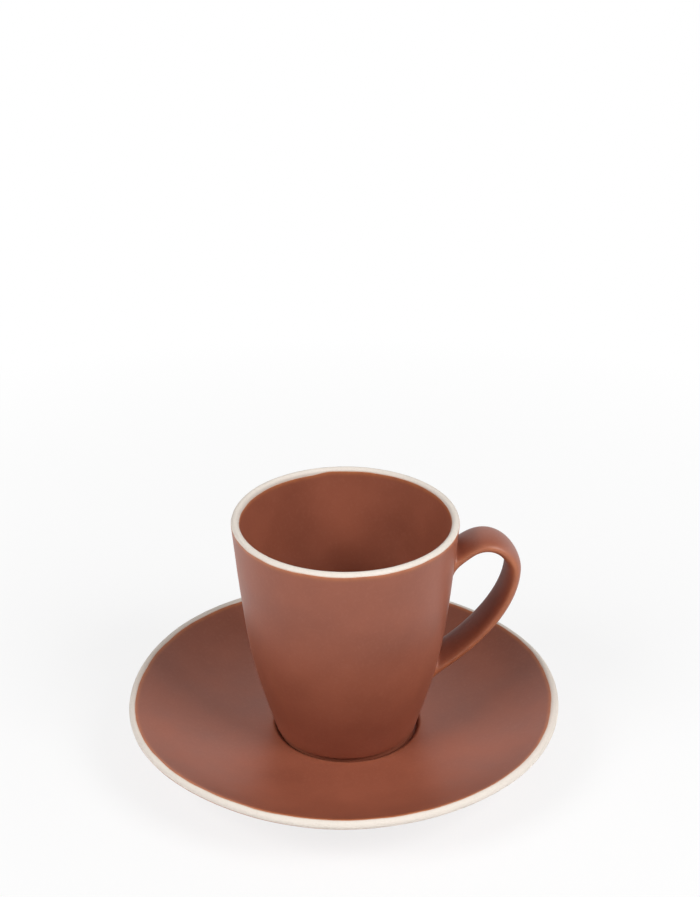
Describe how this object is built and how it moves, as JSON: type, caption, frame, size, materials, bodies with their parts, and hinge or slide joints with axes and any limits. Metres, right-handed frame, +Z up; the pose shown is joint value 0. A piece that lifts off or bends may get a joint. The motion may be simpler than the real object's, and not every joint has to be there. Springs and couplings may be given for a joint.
{
  "type": "coffee cup with saucer",
  "caption": "Tapered stoneware coffee cup with a strap handle, standing in the shallow well of a coupe saucer, in matte terracotta glaze with pale bare-clay lips.",
  "frame": {"origin": "on the table, under the centre of the saucer", "axes": "+Z up along the cup's axis, +X towards the handle"},
  "size_m": [0.1548, 0.1552, 0.0921],
  "materials": {
    "terracotta_glaze": "matte glaze with a soft sheen",
    "bare_clay": "matte, unglazed"
  },
  "bodies": {
    "saucer": {"saucer_plate": "terracotta_glaze", "saucer_lip": "bare_clay", "saucer_foot_ring": "bare_clay"},
    "cup": {"cup_body": "terracotta_glaze", "cup_lip": "bare_clay", "cup_foot_ring": "terracotta_glaze", "cup_handle": "terracotta_glaze"}
  },
  "joints": [
    {"name": "cup_lift", "type": "slide", "parent": "saucer", "child": "cup", "axis": [0, 0, 1], "range_m": [0, 0.1]}
  ]
}
